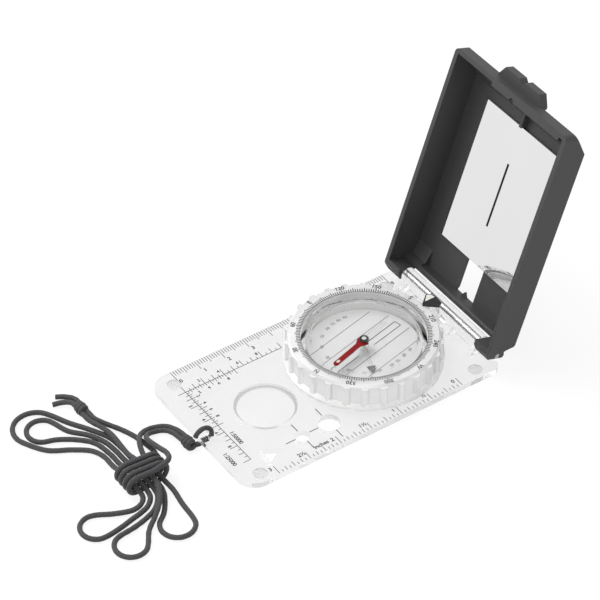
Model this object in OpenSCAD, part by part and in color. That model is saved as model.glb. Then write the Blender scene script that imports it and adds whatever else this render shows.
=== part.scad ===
// Mirror compass with a clear base plate, a turning dial and a hinged sighting lid.
// Frame: +Z up, +Y towards the hinge, origin under the needle's pivot on the resting plane.
// The lid is drawn at the opening angle of the resting pose.

/* [Base plate] */
// Width of the plate
plate_w = 63; // [61:0.5:75]
// Reach of the plate from the dial's centre to the lanyard end
plate_front = 69.5; // [68.5:0.5:85]
// Reach of the plate from the dial's centre to the hinge end
plate_back = 36.6; // [36:0.2:38]
// Thickness of the plate
plate_t = 2.2; // [1.8:0.1:3]
// Corner radius at the lanyard end
front_corner_r = 7; // [3:0.5:12]
// Corner radius at the hinge end
back_corner_r = 4; // [2:0.5:5]
// Height that the feet hold the plate off the table
foot_h = 1; // [1:0.1:2]
// Radius of a foot
foot_r = 2.6; // [1.5:0.1:3]
// Radius of the lanyard hole
lanyard_hole_r = 2.2; // [2:0.1:2.8]
// Radius of the magnifier
lens_r = 11; // [8:0.5:12]
// Rise of the magnifier's dome above the plate
lens_rise = 1.2; // [0.5:0.1:2]
// Radius of the larger map stencil hole
stencil_big_r = 4; // [3.2:0.1:4.6]
// Radius of the smaller map stencil hole
stencil_small_r = 2.6; // [2:0.1:3]
// Side of the triangular stencil hole
stencil_triangle = 7; // [5:0.5:9]

/* [Dial] */
// Outer radius of the bezel's grip
bezel_r = 27.8; // [27:0.1:28.2]
// Height of the bezel's top face above the plate
bezel_h = 10.4; // [9.8:0.1:10.8]
// Radius of the plate opening that the capsule turns in
opening_r = 24; // [23.6:0.1:24.4]
// Grip lobes round the bezel
bezel_lobes = 26; // [12:1:36]
// Radius of a grip lobe
lobe_r = 1.5; // [0.8:0.1:2]
// Inner radius of the capsule
capsule_r = 20.4; // [19.5:0.1:20.8]
// Height of the capsule floor's upper face above the plate
floor_h = 3.2; // [2.4:0.1:3.6]
// Length of the north half of the needle
needle_l = 16.3; // [12:0.1:18]
// Heading of the needle and orienting lines, clockwise from the hinge side
needle_heading = 164; // [0:1:359]
// Heading of the tilt pointer, clockwise from the hinge side
pointer_heading = 111; // [0:1:359]
// Radius of the pivot post
post_r = 0.5; // [0.4:0.05:0.6]

/* [Lid] */
// Opening angle of the lid at rest
lid_open = 109; // [60:1:160]
// Width of the lid
lid_w = 61.3; // [60.6:0.1:62.5]
// Reach of the lid from the hinge axis to its top edge
lid_l = 88.8; // [84:0.2:96]
// Depth of the lid behind the hinge axis
lid_back = 9.2; // [8.6:0.1:10.5]
// Thickness of the lid's walls
lid_wall = 1.8; // [1.4:0.1:1.9]
// Thickness of the lid's back panel
panel_t = 1.5; // [1.2:0.1:2]
// Width of the mirror
mirror_w = 39.1; // [34:0.5:46]
// Length of the mirror
mirror_l = 55.5; // [50:0.5:58]
// Thickness of the mirror
mirror_t = 0.8; // [0.6:0.1:1]
// Thickness of the adhesive pad behind the mirror
tape_t = 0.3; // [0.2:0.05:0.4]
// Width of the sighting window
window_w = 9.6; // [7:0.2:12]

/* [Hinge] */
// Height of the hinge axis above the plate
hinge_h = 4.8; // [4.8:0.1:5.4]
// Radius of the barrel and of the lid's ears
barrel_r = 2.8; // [2.4:0.1:3]
// Length of the clear barrel
barrel_l = 44; // [36:0.5:46]
// Radius of the hinge pin
pin_r = 1; // [0.8:0.05:1.2]

/* [Lanyard] */
// Diameter of the cord
cord_d = 1.8; // [1.4:0.1:1.8]

/* [Hidden] */
$fn = 96;
// Overshoot of a cut past the face it opens
eps = 0.5;
// Gap between pieces that turn past each other
gap = 0.3;
// Radial clearance of a running fit
run_fit = 0.06;
// Radial clearance of a bonded or pressed seat
seat_fit = 0.03;

// Plate levels and the places of its features
plate_z = foot_h;
plate_top = plate_z + plate_t;
foot_inset = 5;
foot_end = 8;
foot_seat = 0.6;
lens_pos = [1, -42];
lens_ledge = 1;
lens_seat = 0.8;
lens_edge = 0.4;
stencil_big_pos = [20.5, -29.1];
stencil_small_pos = [20.8, -40.3];
stencil_triangle_pos = [21.5, -54];
lanyard_hole_pos = [1.5, 4.7 - plate_front];

// Dial levels, each stacked on the one below
washer_t = 0.2;
washer_w = 2.2;
dial_play = 0.1;
bezel_z = plate_top + washer_t + dial_play;
bezel_top = plate_top + bezel_h;
bezel_skirt_h = 1.6;
bezel_skirt_out = 0.4;
bezel_chamfer = 0.7;
skirt_slope = 0.5;
lobe_rise = 1.1;
lobe_drop = 0.8;
bezel_wall_r = bezel_r - lobe_rise;
cup_r = opening_r - run_fit;
bezel_bore_r = cup_r + seat_fit;
flange_t = 1;
flange_in_r = capsule_r + 1.8;
cup_top = bezel_top - flange_t - seat_fit;
retainer_t = 0.7;
retainer_w = 1.6;
ledge_z = plate_z + 1.1;
retainer_top = ledge_z - dial_play;
retainer_z = retainer_top - retainer_t;
cup_z = retainer_z;
floor_t = 1.4;
floor_top = plate_top + floor_h;
disc_t = 0.3;
disc_top = floor_top + disc_t;
seal_t = 0.4;
seal_z = cup_top - 1.9;
window_z = seal_z + seal_t;
window_flange_t = 1;
window_t = 0.9;
window_step = 0.3;
window_side = 0.6;
window_flange_r = flange_in_r - 0.25;
window_crown_r = capsule_r - 0.8;
window_under = window_z + window_flange_t;

// Needle and tilt pointer levels, hung from the window down
cap_top = window_under - 0.5;
cap_t = 1.5;
cap_r = 1.65;
jewel_r = 0.95;
jewel_t = 0.6;
jewel_play = 0.05;
cap_roof = 0.3;
jewel_top = cap_top - cap_roof;
post_top = jewel_top - 0.2;
blade_t = 0.4;
blade_z = cap_top - cap_t + 0.3;
wing_half = 2.4;
blade_half = 0.95;
tail_l = 12;
arm_t = 0.3;
arm_hub_r = 1.8;
arm_z = disc_top + 0.5;
post_collar_r = 1;
pointer_tip = 13;
pointer_root = 10;
pointer_half = 1.6;

// Hinge place
hinge_y = 34.84;
hinge_z = plate_top + hinge_h;
web_t = 2.4;
pin_recess = 0.2;
index_tip = 24.9;
index_back = 31;
index_half = 4;
index_z = bezel_top + gap;
index_rise = 1.3;
index_edge = 0.2;
index_waist = index_back - 1.6;
pedestal_half = 2.2;

// Lid in its own closed frame: x across, y from the hinge axis, z towards the lid's back
rim_clear = 0.4;
rim_z = -hinge_h + rim_clear;
lid_half = lid_w / 2;
top_depth = 4.7;
bevel_run = 10.2;
side_bevel = 2.4;
panel_in = lid_back - panel_t;
mirror_back = panel_in - tape_t;
mirror_front = mirror_back - mirror_t;
mirror_low = 18.2;
ear_gap = 0.3;
ear_in = barrel_l / 2 + ear_gap;
ear_l = 2.4;
ear_front = 0.5;
ear_low = 1.9;
ear_slope = 1.6;
ear_corner_r = 2;
top_corner_r = 2;
window_low = 3.7;
window_high = 17.4;
tooth_h = 2;
tooth_half = 1.4;
tooth_root = 0.6;
tooth_t = 0.9;
tail_wall_z = barrel_r + gap;
heel_high = 9;
heel_mid = 4.8;
heel_low = 3.1;
heel_foot = barrel_r * 0.7;
heel_mid_z = lid_back - 1.8;
heel_low_z = heel_mid_z - 1;
panel_heel_t = 1.2;
panel_heel_run = 2.4;
panel_heel_drop = 1.2;
sight_half = 9.2;
sight_foot = 11.6;
sight_h = 3.9;
sight_t = 2.4;
sight_notch_half = 1.6;
sight_notch_d = 1.4;

// Cord layout: the hank lies on the table beyond the lanyard end
cord_r = cord_d / 2;
hank_z = cord_r + 0.05;
hank_layer = cord_d + 0.6;
hank_lift = 2.25;
hank_hump = 9;
hank_y = -95;
wrap_x = 6;
wrap_turns = 3.5;
wrap_pitch = 2.5;
wrap_rings = 24;
wrap_half = 4.3;
wrap_r = 2 * cord_d;
wrap_pos = [wrap_x, hank_y, cord_r + wrap_r];
knot_r = 2.3;
knot_l = 6;
knot_pos = [0.8, -73.4, 2.4];
// Reach of the plate that the cord's routes are drawn for, and their shift for another one
lay_front = 69.5;
lay_shift = lay_front - plate_front;
end_knot_pos = [-34, -94.4, 2.4];
strand_gap = 0.97;
// Slit between the cuts of two lengths of one strand, and between a strand and its knot
join_gap = 0.3;

// Strands of the hank lie side by side in columns, lifted where the winding passes under them
function lift(x) = hank_lift * exp(-pow((x - wrap_x) / hank_hump, 4));
function column(k) = hank_y + hank_layer * (2 - k);
function strand(k, xs) = [for (x = xs) [x, column(k), hank_z + lift(x)]];
function flat_arc(c, r, from, to, steps) =
    [for (i = [0:steps])
        let (a = from + (to - from) * i / steps) [c.x + r * cos(a), c.y + r * sin(a), hank_z]];
rightwards = [-11, -5, 1, 6, 11.5];
leftwards = [11.5, 6, 1, -5, -11];
hank_first = concat(
    strand(0, [3, 6, 11.5]), [[17, -89.9, 2.4], [23, -90.4, 1.3]],
    flat_arc([30, -96.8], 6, 90, -130, 6), [[23.2, -97.9, 1], [19.8, -95.2, 1.5], [16, -93.2, 2.5]],
    strand(1, leftwards), [[-18, -93.4, hank_z], [-25, -96.8, hank_z], [-32, -101, hank_z]],
    flat_arc([-35.8, -111.6], 8, 110, 300, 6),
    [[-24.5, -114, hank_z], [-20, -107, hank_z], [-15.8, -101.8, hank_z]]);
hank_second = concat(
    strand(4, rightwards),
    [[14.4, -100.4, 2.7], [16.1, -102, 2.4], [16.7, -104.4, 1.9], [16, -107.2, 1.4], [13.6, -112, 1]],
    flat_arc([15.8, -119.5], 5.6, 150, 370, 6),
    [[20.6, -113, 1], [19.6, -108, 1.2], [19.1, -104.3, 1.6], [18.2, -100.9, 2.2], [15.7, -98.3, 2.8]],
    strand(3, leftwards), [[-18.2, -98.8, hank_z], [-23.2, -103, hank_z], [-27, -108.4, hank_z]],
    flat_arc([-33.5, -110.5], 5.4, -30, -260, 7),
    [[-28.5, -103.2, hank_z], [-23, -98.7, hank_z], [-17, -95.8, hank_z]]);
hank_third = concat(
    strand(2, rightwards),
    [[16.6, -96, 2.7], [20.3, -99.4, 1.9], [21.9, -104.2, 1.1], [23, -109.4, hank_z]],
    flat_arc([29.2, -114.5], 5.6, 190, 420, 7),
    [[27.2, -106.2, 1.3], [24, -101.8, 2.6], [20.4, -97.6, 4.3], [15.6, -94.8, 5.2]],
    [for (x = [11.5, 6, 1, -5]) [x, column(1.5), hank_z + hank_layer + lift(x)]]);
hank_route = concat(hank_first, hank_second, hank_third);
hank_last = len(hank_route) - 1;
hank_in = hank_route[0];
hank_out = hank_route[hank_last];

// Winding round the hank, flat above and below and round at its sides, from its top to its underside
wrap_side = PI * wrap_r;
wrap_turn_l = 4 * wrap_half + 2 * wrap_side;
function wrap_bend(l) = l / wrap_r * 180 / PI;
function wrap_ring(l) =
    l < wrap_half ? [-l, wrap_r]
    : l < wrap_half + wrap_side ?
        let (a = wrap_bend(l - wrap_half)) [-wrap_half - wrap_r * sin(a), wrap_r * cos(a)]
    : l < 3 * wrap_half + wrap_side ? [l - 2 * wrap_half - wrap_side, -wrap_r]
    : l < 3 * wrap_half + 2 * wrap_side ?
        let (a = wrap_bend(l - 3 * wrap_half - wrap_side)) [wrap_half + wrap_r * sin(a), -wrap_r * cos(a)]
    : [wrap_turn_l - l, wrap_r];
function wrap_point(t) =
    let (q = wrap_ring((t - floor(t)) * wrap_turn_l))
    wrap_pos + [wrap_pitch * (wrap_turns / 2 - t), q.x, q.y];
wrap_steps = round(wrap_turns * wrap_rings);
wrap_run = [for (i = [0:wrap_steps]) wrap_point(wrap_turns * i / wrap_steps)];
wrap_in = wrap_run[0] + [0, cord_d, 0];
wrap_out = wrap_run[wrap_steps] + [0, cord_d, 0];
wrap_path = concat([wrap_in], wrap_run, [wrap_out]);

// Routes chosen by hand between the knots, the hank and the winding
knot_left = knot_pos - [knot_l / 2 + join_gap, 0, 0];
end_knot_right = end_knot_pos + [knot_l / 2 + join_gap, 0, 0];
end_knot_left = end_knot_pos - [knot_l / 2 + join_gap, 0, 0];
lead_a_mid = [[-6.6, -72.8, 1.9], [-11.5, -74.9, 1.2], [-13.6, -79.8, 1.1], [-11.5, -84.7, 2.8],
              [-7.4, -87.8, 3.9], [-1.8, -89.8, 3.7]];
lead_b_mid = [[-6.6, -74.8, 1.9], [-10.1, -76.3, 1.2], [-11.6, -79.8, 1.1], [-10.1, -83.3, 2.6],
              [-6.6, -84.8, 4], [0, -84.9, 6], [5.6, -85, 7.8], [9.6, -87.2, 8.9]];
end_a_mid = [[-10.5, -93.5, 3.4], [-16, -93.2, 3.4], [-21, -93.8, 3.2], [-25.6, -95, 2.8],
             [-28.2, -95.36, 2.5]];
end_b_mid = [[1.6, -90.4, 1], [0.6, -86.8, 1.05], [-2.8, -84.6, 1.05], [-8, -84.9, 1.05],
             [-14, -86.2, 1.05], [-19, -88.2, 1.15], [-23.4, -91.1, 1.8], [-27.3, -93.2, 2.3]];
lead_a_route = concat([knot_left + [0, strand_gap, 0]], lead_a_mid,
                      [hank_in + join_gap * unit(hank_in - hank_route[1])]);
lead_b_route = concat([knot_left - [0, strand_gap, 0]], lead_b_mid, [wrap_in + [0, join_gap, 0]]);
end_a_route = concat([hank_out + join_gap * unit(hank_out - hank_route[hank_last - 1])], end_a_mid,
                     [end_knot_right - [0, strand_gap, 0]]);
end_b_route = concat([wrap_out + [0, join_gap, 0]], end_b_mid, [end_knot_right + [0, strand_gap, 0]]);
tail_a_route = [end_knot_left + [0, strand_gap, 0], [-40, -93.7, 2.2], [-43, -95.4, 1.6], [-45.2, -98, 1.2]];
tail_b_route = [end_knot_left - [0, strand_gap, 0], [-39.6, -96, 2], [-41.6, -98, 1.3], [-42.6, -100.8, 1]];
hitch_x = lanyard_hole_pos.x;
hitch_y = lanyard_hole_pos.y;
hitch_route = [[hitch_x, hitch_y - 6.3, plate_top + 1], [hitch_x, hitch_y - 5.2, plate_top + 2.5],
               [hitch_x, hitch_y - 3.1, plate_top + 3.3], [hitch_x, hitch_y - 1.1, plate_top + 2.6],
               [hitch_x, hitch_y + 0.1, plate_top + 0.9], [hitch_x, hitch_y + 0.3, plate_top - 0.7],
               [hitch_x, hitch_y - 0.1, plate_z + 0.1],
               [hitch_x, hitch_y - 1.5, foot_h / 2], [hitch_x, hitch_y - 3.4, foot_h / 2],
               [hitch_x, hitch_y - 5.2, foot_h / 2], [hitch_x, hitch_y - 6.6, foot_h / 2 + 0.25]];
// Half thickness of the hitch at each point of its route, pressed flat under the plate
hitch_flat = [1, 1, 1, 1, 1, 0.85, 0.6, 0.45, 0.45, 0.45, 0.5];

// Smooth curve through the points of a route
function spline_at(p, i, s) =
    let (n = len(p) - 1, a = p[max(i - 1, 0)], b = p[i], c = p[min(i + 1, n)], d = p[min(i + 2, n)])
    0.5 * (2 * b + (c - a) * s + (2 * a - 5 * b + 4 * c - d) * s * s + (3 * b - a - 3 * c + d) * s * s * s);
function spline(p, per) =
    concat([for (i = [0:len(p) - 2], k = [0:per - 1]) spline_at(p, i, k / per)], [p[len(p) - 1]]);

// Frames along a path, each turned from the last by the least amount
function unit(v) = v / norm(v);
function heading(p, i) = unit(p[min(i + 1, len(p) - 1)] - p[max(i - 1, 0)]);
function across(n, t) = unit(n - t * (n * t));
function sides(p) =
    [for (i = 0, n = across([0.01, 0.02, 1], heading(p, 0)); i < len(p);
          i = i + 1, n = i < len(p) ? across(n, heading(p, i)) : n) n];
function least_gap(p, skip) =
    min([for (i = [0:len(p) - 1], j = [i + skip:1:len(p) - 1]) norm(p[i] - p[j])]) - cord_d;

// Tube swept along a path, with a half thickness factor for each point
module tube(p, r, n, flat = []) {
    up = sides(p);
    rings = [for (i = [0:len(p) - 1], k = [0:n - 1])
        let (t = heading(p, i), b = cross(t, up[i]), a = 360 * k / n, f = len(flat) > 0 ? flat[i] : 1)
        p[i] + r * (f * cos(a) * up[i] + sin(a) * b / max(f, 0.7))];
    last = (len(p) - 1) * n;
    walls = [for (i = [0:len(p) - 2], k = [0:n - 1], h = [0, 1])
        let (a = i * n + k, b = i * n + (k + 1) % n)
        h == 0 ? [a, b, b + n] : [a, b + n, a + n]];
    start = [for (k = [1:n - 2]) [0, k + 1, k]];
    end = [for (k = [1:n - 2]) [last, last + k, last + k + 1]];
    polyhedron(rings, concat(walls, start, end), convexity = 10);
}

// Rectangle from corner a to corner b with a radius for its lower and its upper corners
module rounded_rect(a, b, r_low, r_high) {
    translate([a.x, a.y + r_low]) square([b.x - a.x, b.y - a.y - r_low - r_high]);
    translate([a.x + r_low, a.y]) square([b.x - a.x - 2 * r_low, r_low + r_high]);
    translate([a.x + r_high, b.y - r_low - r_high]) square([b.x - a.x - 2 * r_high, r_low + r_high]);
    for (x = [a.x + r_low, b.x - r_low]) translate([x, a.y + r_low]) circle(r_low);
    for (x = [a.x + r_high, b.x - r_high]) translate([x, b.y - r_high]) circle(r_high);
}

// Ring between two radii and two levels
module ring(r_in, r_out, z, h) {
    translate([0, 0, z]) difference() {
        cylinder(r = r_out, h = h);
        translate([0, 0, -eps]) cylinder(r = r_in, h = h + 2 * eps);
    }
}

// Extrusion along X, from a profile drawn in Y and Z
module along_x(x0, x1) {
    translate([x0, 0, 0]) rotate([90, 0, 90]) linear_extrude(x1 - x0) children();
}

// Extrusion along Y, from a profile drawn in X and Z
module along_y(y0, y1) {
    translate([0, y1, 0]) rotate([90, 0, 0]) linear_extrude(y1 - y0) children();
}

// Cylinder along X
module rod_x(r, x0, x1) {
    translate([x0, 0, 0]) rotate([0, 90, 0]) cylinder(r = r, h = x1 - x0);
}

// Turn about the dial's axis to a heading clockwise from the hinge side
module headed(angle) {
    rotate([0, 0, -angle]) children();
}

// Seat of the lid's pieces, from their closed frame to the resting pose
module lid_frame() {
    translate([0, hinge_y, hinge_z]) rotate([-lid_open, 0, 0]) children();
}

// Places of the feet, two near each end of the plate
function foot_places() =
    [for (x = [-1, 1], y = [plate_back - foot_end, foot_end - plate_front])
        [x * (plate_w / 2 - foot_inset), y]];

module base_plate() {
    color("whitesmoke", 0.4) difference() {
        union() {
            translate([0, 0, plate_z]) linear_extrude(plate_t)
                rounded_rect([-plate_w / 2, -plate_front], [plate_w / 2, plate_back],
                             front_corner_r, back_corner_r);
            hinge_bridge();
        }
        translate([0, 0, plate_z - eps]) cylinder(r = opening_r, h = plate_t + 2 * eps);
        translate([0, 0, plate_z - eps])
            cylinder(r = opening_r + retainer_w + gap, h = ledge_z - plate_z + eps);
        translate([lens_pos.x, lens_pos.y, plate_z - eps])
            cylinder(r = lens_r - lens_ledge, h = plate_t + 2 * eps);
        translate([lens_pos.x, lens_pos.y, plate_z + lens_seat])
            cylinder(r = lens_r + seat_fit, h = plate_t);
        plate_hole(stencil_big_pos, stencil_big_r);
        plate_hole(stencil_small_pos, stencil_small_r);
        plate_hole(lanyard_hole_pos, lanyard_hole_r);
        translate([stencil_triangle_pos.x, stencil_triangle_pos.y, plate_z - eps])
            linear_extrude(plate_t + 2 * eps)
                polygon([for (a = [90, 210, 330]) stencil_triangle / sqrt(3) * [cos(a), sin(a)]]);
        for (p = foot_places()) translate([p.x, p.y, plate_z - eps])
            cylinder(r = foot_r + seat_fit, h = foot_seat + eps);
        translate([0, hinge_y, hinge_z]) rod_x(pin_r + seat_fit, -barrel_l / 2 - eps, barrel_l / 2 + eps);
    }
}

module plate_hole(p, r) {
    translate([p.x, p.y, plate_z - eps]) cylinder(r = r, h = plate_t + 2 * eps);
}

// Clear barrel on its web, with gussets and the index's pedestal
module hinge_bridge() {
    half = barrel_l / 2;
    gusset = 4;
    gusset_t = 1.6;
    pedestal_y = bezel_r + bezel_skirt_out + gap + 0.4;
    translate([0, hinge_y, hinge_z]) rod_x(barrel_r, -half, half);
    translate([-half, hinge_y - web_t / 2, plate_top - eps]) cube([barrel_l, web_t, hinge_h + eps]);
    for (x = [-half + gusset_t, -half / 3, half / 3, half - gusset_t])
        along_x(x - gusset_t / 2, x + gusset_t / 2)
            polygon([[hinge_y, plate_top - eps], [hinge_y, hinge_z], [hinge_y - web_t / 2, hinge_z],
                     [hinge_y - web_t / 2 - gusset, plate_top],
                     [hinge_y - web_t / 2 - gusset, plate_top - eps]]);
    along_x(-pedestal_half, pedestal_half)
        polygon([[pedestal_y, plate_top - eps], [hinge_y, plate_top - eps], [hinge_y, hinge_z],
                 [index_back, hinge_z], [index_back, index_z], [pedestal_y, index_z]]);
}

module magnifier_lens() {
    cap_base_r = lens_r - lens_edge;
    dome_r = (cap_base_r * cap_base_r + lens_rise * lens_rise) / (2 * lens_rise);
    color("azure", 0.4) translate([lens_pos.x, lens_pos.y, 0]) {
        translate([0, 0, plate_z + lens_seat]) cylinder(r = lens_r, h = plate_t - lens_seat);
        intersection() {
            translate([0, 0, plate_top + lens_rise - dome_r]) sphere(dome_r);
            translate([0, 0, plate_top - eps]) cylinder(r = cap_base_r, h = lens_rise + 2 * eps);
        }
    }
}

module feet() {
    color("gainsboro") for (p = foot_places())
        translate([p.x, p.y, 0]) cylinder(r = foot_r, h = foot_h + foot_seat);
}

module hinge_pin() {
    reach = lid_half - pin_recess;
    color("silver") translate([0, hinge_y, hinge_z]) rod_x(pin_r, -reach, reach);
}

// Roof-shaped pointer over the bezel, and the patch of it that holds the pale inlay
module index_roof() {
    corner = index_half - 1;
    eave = index_half + 1;
    intersection() {
        translate([0, 0, index_z]) linear_extrude(index_rise)
            polygon([[0, index_tip], [index_half, index_waist], [corner, index_back], [-corner, index_back],
                     [-index_half, index_waist]]);
        along_y(index_tip - eps, index_back + eps)
            polygon([[-eave, index_z - eps], [eave, index_z - eps], [eave, index_z + index_edge],
                     [0, index_z + index_rise], [-eave, index_z + index_edge]]);
    }
}

module index_patch() {
    edge = 0.4;
    corner = 1.4;
    translate([0, 0, index_z + index_edge]) linear_extrude(index_rise + eps)
        polygon([[-edge, index_tip + corner], [-edge, index_back - edge],
                 [corner - index_half, index_back - edge], [edge - index_half, index_waist]]);
}

module index_marker() {
    color("black") difference() {
        index_roof();
        index_patch();
    }
}

module index_inlay() {
    color("lightgray") intersection() {
        index_roof();
        index_patch();
    }
}

module friction_washer() {
    color("white") ring(opening_r + gap, opening_r + gap + washer_w, plate_top, washer_t);
}

module bezel_ring() {
    skirt_top = bezel_z + bezel_skirt_h;
    lobe_z = skirt_top - skirt_slope;
    color("gainsboro", 0.7) {
        rotate_extrude() polygon([
            [bezel_bore_r, bezel_z], [bezel_r + bezel_skirt_out, bezel_z],
            [bezel_r + bezel_skirt_out, lobe_z], [bezel_wall_r, skirt_top + skirt_slope],
            [bezel_wall_r, bezel_top - bezel_chamfer], [bezel_wall_r - bezel_chamfer, bezel_top],
            [flange_in_r, bezel_top], [flange_in_r, bezel_top - flange_t],
            [bezel_bore_r, bezel_top - flange_t]]);
        for (k = [0:bezel_lobes - 1]) rotate([0, 0, (k + 0.5) * 360 / bezel_lobes])
            translate([bezel_r - lobe_r, 0, lobe_z])
                cylinder(r = lobe_r, h = bezel_top - lobe_drop - lobe_z, $fn = 32);
    }
}

module capsule_cup() {
    color("aliceblue", 0.4) difference() {
        rotate_extrude() polygon([
            [0, floor_top - floor_t], [cup_r - retainer_w, floor_top - floor_t],
            [cup_r - retainer_w, cup_z], [cup_r, cup_z], [cup_r, cup_top], [flange_in_r, cup_top],
            [flange_in_r, seal_z], [capsule_r, seal_z], [capsule_r, floor_top], [0, floor_top]]);
        translate([0, 0, floor_top - floor_t - eps])
            cylinder(r = post_r + seat_fit, h = floor_t + 2 * eps);
    }
}

module capsule_window() {
    color("azure", 0.3) rotate_extrude() polygon([
        [0, window_under], [window_crown_r - 2 * window_side, window_under],
        [window_crown_r - window_side, window_z], [window_flange_r, window_z],
        [window_flange_r, window_under - window_step],
        [window_crown_r + window_side, window_under - window_step],
        [window_crown_r, window_under + window_step],
        [window_crown_r - window_side, window_under + window_t], [0, window_under + window_t]]);
}

module capsule_seal() {
    color("white") ring(capsule_r + 0.1, window_flange_r, seal_z, seal_t);
}

module bezel_retainer() {
    color("white") ring(cup_r + seat_fit, opening_r + retainer_w, retainer_z, retainer_t);
}

module orienting_disc() {
    color("white", 0.5) ring(post_collar_r + 0.1, capsule_r - 0.1, floor_top, disc_t);
}

module pivot_post() {
    color("silver") {
        translate([0, 0, floor_top - floor_t]) cylinder(r = post_r, h = post_top - floor_top + floor_t);
        translate([0, 0, floor_top]) cylinder(r = post_collar_r, h = arm_z - 0.1 - floor_top);
    }
}

module needle_north() {
    root = 3.4;
    shoulder = 0.4;
    color("firebrick") headed(needle_heading) translate([0, 0, blade_z])
        linear_extrude(blade_t) difference() {
            union() {
                polygon([[-wing_half, shoulder], [wing_half, shoulder], [blade_half, root],
                         [blade_half, needle_l - blade_half], [-blade_half, needle_l - blade_half],
                         [-blade_half, root]]);
                translate([0, needle_l - blade_half]) circle(blade_half);
            }
            circle(cap_r + seat_fit);
        }
}

module needle_south() {
    color("white", 0.4) headed(needle_heading) translate([0, 0, blade_z])
        linear_extrude(blade_t) difference() {
            union() {
                translate([-blade_half, blade_half - tail_l]) square([2 * blade_half, tail_l - blade_half]);
                translate([0, blade_half - tail_l]) circle(blade_half);
            }
            circle(cap_r + seat_fit);
        }
}

module needle_cap() {
    color("black") translate([0, 0, cap_top - cap_t]) difference() {
        cylinder(r = cap_r, h = cap_t);
        translate([0, 0, -eps]) cylinder(r = jewel_r + seat_fit, h = cap_t - cap_roof + eps);
    }
}

module needle_jewel() {
    color("mistyrose") translate([0, 0, jewel_top - jewel_t]) difference() {
        cylinder(r = jewel_r, h = jewel_t);
        translate([0, 0, -eps])
            cylinder(r = post_r + run_fit, h = post_top + jewel_play - jewel_top + jewel_t + eps);
    }
}

module tilt_arm() {
    half = 0.7;
    color("white", 0.5) headed(pointer_heading) difference() {
        translate([0, 0, arm_z]) linear_extrude(arm_t) {
            circle(arm_hub_r);
            translate([-half, 0]) square([2 * half, pointer_root]);
        }
        translate([0, 0, arm_z - eps]) cylinder(r = post_r + run_fit, h = arm_t + 2 * eps);
    }
}

module tilt_pointer() {
    color("dimgray") headed(pointer_heading) translate([0, 0, arm_z]) linear_extrude(arm_t)
        polygon([[-pointer_half, pointer_root], [pointer_half, pointer_root], [0, pointer_tip]]);
}

// Side outline of the lid, from the ears to the sloped top
module lid_outline() {
    bevel_z = rim_z + top_depth;
    polygon([[-ear_front, rim_z], [-lid_l, rim_z], [-lid_l, bevel_z], [bevel_run - lid_l, lid_back],
             [-heel_high, lid_back], [-heel_mid, heel_mid_z], [-heel_low, heel_low_z],
             [-heel_foot, tail_wall_z], [0, 0], [ear_low, 0], [ear_low, rim_z + ear_slope]]);
    circle(barrel_r);
}

// Hollow of the lid, a wall inside the outline along the top and the heel, open at the rim
module lid_hollow() {
    bevel_z = rim_z + top_depth;
    slope = (lid_back - bevel_z) / bevel_run;
    top = lid_wall - lid_l;
    knee = bevel_z + slope * lid_wall - lid_wall * sqrt(1 + slope * slope);
    run = (panel_in - knee) / slope;
    heel_t = 1.4;
    heel_side = 0.7;
    heel_up = 1.3;
    polygon([[-ear_l, rim_z - eps], [top, rim_z - eps], [top, knee], [top + run, panel_in],
             [-heel_high - heel_side, panel_in], [-heel_mid - heel_side, heel_mid_z - heel_up],
             [-heel_low - heel_t, heel_low_z - heel_side], [-heel_foot - heel_t, tail_wall_z],
             [-ear_l, tail_wall_z]]);
}

// Heel of the back panel between the ears, which carries the panel straight on to the window's foot
module panel_heel() {
    foot = window_low - panel_heel_t;
    polygon([[-heel_high, tail_wall_z], [-heel_high, lid_back], [-foot - panel_heel_run, lid_back],
             [-foot, lid_back - panel_heel_drop], [-foot, tail_wall_z]]);
}

// Hollow behind the panel's heel
module panel_heel_hollow() {
    over = 1;
    polygon([[-heel_high - over, tail_wall_z - eps], [-heel_high - over, panel_in],
             [-window_low, panel_in], [-window_low, tail_wall_z - eps]]);
}

// Face outline of the lid, rounded most at the ears
module lid_face() {
    rounded_rect([-lid_half, -lid_l], [lid_half, ear_low], top_corner_r, ear_corner_r);
}

// Across outline of the lid, bevelled along both sides of its back
module lid_section() {
    polygon([[-lid_half, rim_z], [lid_half, rim_z], [lid_half, lid_back - side_bevel],
             [lid_half - side_bevel, lid_back], [side_bevel - lid_half, lid_back],
             [-lid_half, lid_back - side_bevel]]);
}

// Two sight tabs on the lid's top edge, with the notch between them
module rear_sight() {
    foot = rim_z + top_depth;
    translate([0, 0, foot - 1]) linear_extrude(sight_t + 1)
        polygon([[-sight_foot, 1 - lid_l], [-sight_foot, -lid_l], [-sight_half, -lid_l - sight_h],
                 [-sight_notch_half, -lid_l - sight_h], [0, -lid_l - sight_h + sight_notch_d],
                 [sight_notch_half, -lid_l - sight_h], [sight_half, -lid_l - sight_h],
                 [sight_foot, -lid_l], [sight_foot, 1 - lid_l]]);
}

// Ledge inside the top rim, with the round notch of the front sight line
module top_ledge() {
    ledge_t = 1.4;
    ledge_h = 3;
    ledge_x = -9.5;
    ledge_l = 36.5;
    notch_x = 1.4;
    notch_r = 1.2;
    difference() {
        translate([ledge_x, lid_wall - lid_l - eps, rim_z]) cube([ledge_l, ledge_t + eps, ledge_h]);
        translate([notch_x, lid_wall - lid_l + ledge_t, rim_z - eps])
            cylinder(r = notch_r, h = ledge_h + 2 * eps);
    }
}

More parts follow.
